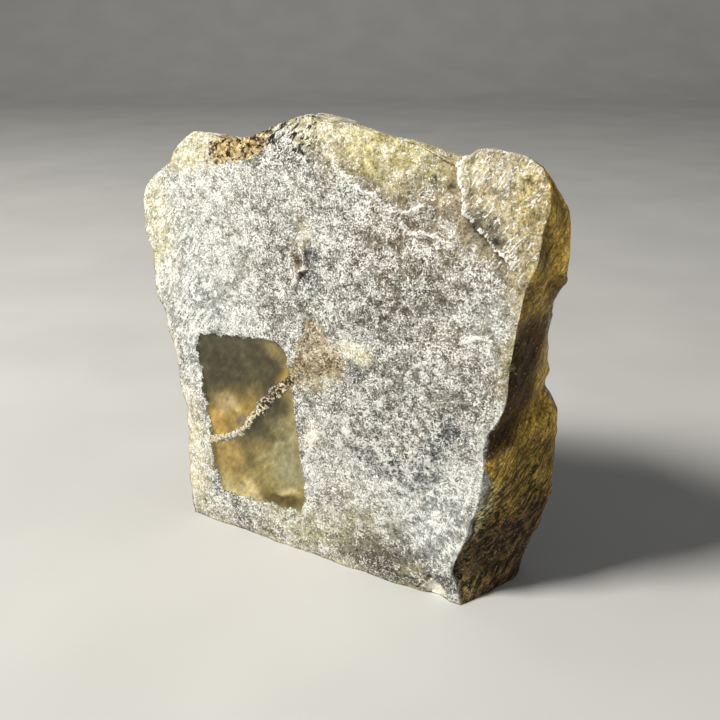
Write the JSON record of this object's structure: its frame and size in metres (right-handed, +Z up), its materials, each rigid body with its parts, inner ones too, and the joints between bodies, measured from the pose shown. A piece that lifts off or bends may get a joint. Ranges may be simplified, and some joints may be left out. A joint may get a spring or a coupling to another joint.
{
  "type": "rough labradorite chunk",
  "caption": "Rough labradorite chunk with a flat sawn front, broken sides and back, and a small polished window; it stands on its flat base.",
  "frame": {"origin": "centre of the stone's bounding box at the bottom, on the surface it stands on", "axes": "+Z up, -Y out of the sawn front, +X to the right as the front is looked at"},
  "size_m": [0.0916, 0.0268, 0.0955],
  "materials": {
    "labradorite": "frosted sawn front, glassy window, rough amber-brown sides"
  },
  "bodies": {
    "root": {"labradorite_chunk": "labradorite"}
  },
  "joints": []
}
